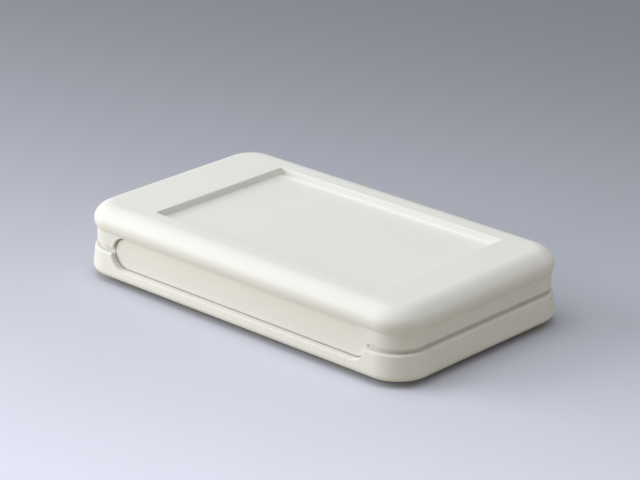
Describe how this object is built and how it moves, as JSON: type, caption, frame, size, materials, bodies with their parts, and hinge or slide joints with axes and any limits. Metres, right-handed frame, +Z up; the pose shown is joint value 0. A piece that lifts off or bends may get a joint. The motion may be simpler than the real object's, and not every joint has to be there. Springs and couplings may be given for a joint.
{
  "type": "handheld enclosure",
  "caption": "Flat off-white plastic handheld case with rounded waisted sides, a sunk rectangular top panel, a shadow gap between its halves and a round-ended strip in each long side.",
  "frame": {"origin": "middle of the case, on the plane that its pads stand on", "axes": "+X across the width, +Y along the length towards the head with the wider flat above the sunk panel, +Z up out of the panel"},
  "size_m": [0.081, 0.141, 0.025],
  "materials": {
    "shell": "off-white moulded plastic with a fine spark-eroded texture",
    "strip": "off-white moulded plastic, a little warmer and more finely textured than the shells",
    "screw": "zinc-plated steel",
    "rubber": "matt black rubber"
  },
  "bodies": {
    "root": {"top_shell": "shell", "bottom_shell": "shell", "side_strip_left": "strip", "side_strip_right": "strip", "case_screws": "screw", "rubber_pad_head_left": "rubber", "rubber_pad_head_right": "rubber", "rubber_pad_foot_left": "rubber", "rubber_pad_foot_right": "rubber"}
  },
  "joints": []
}
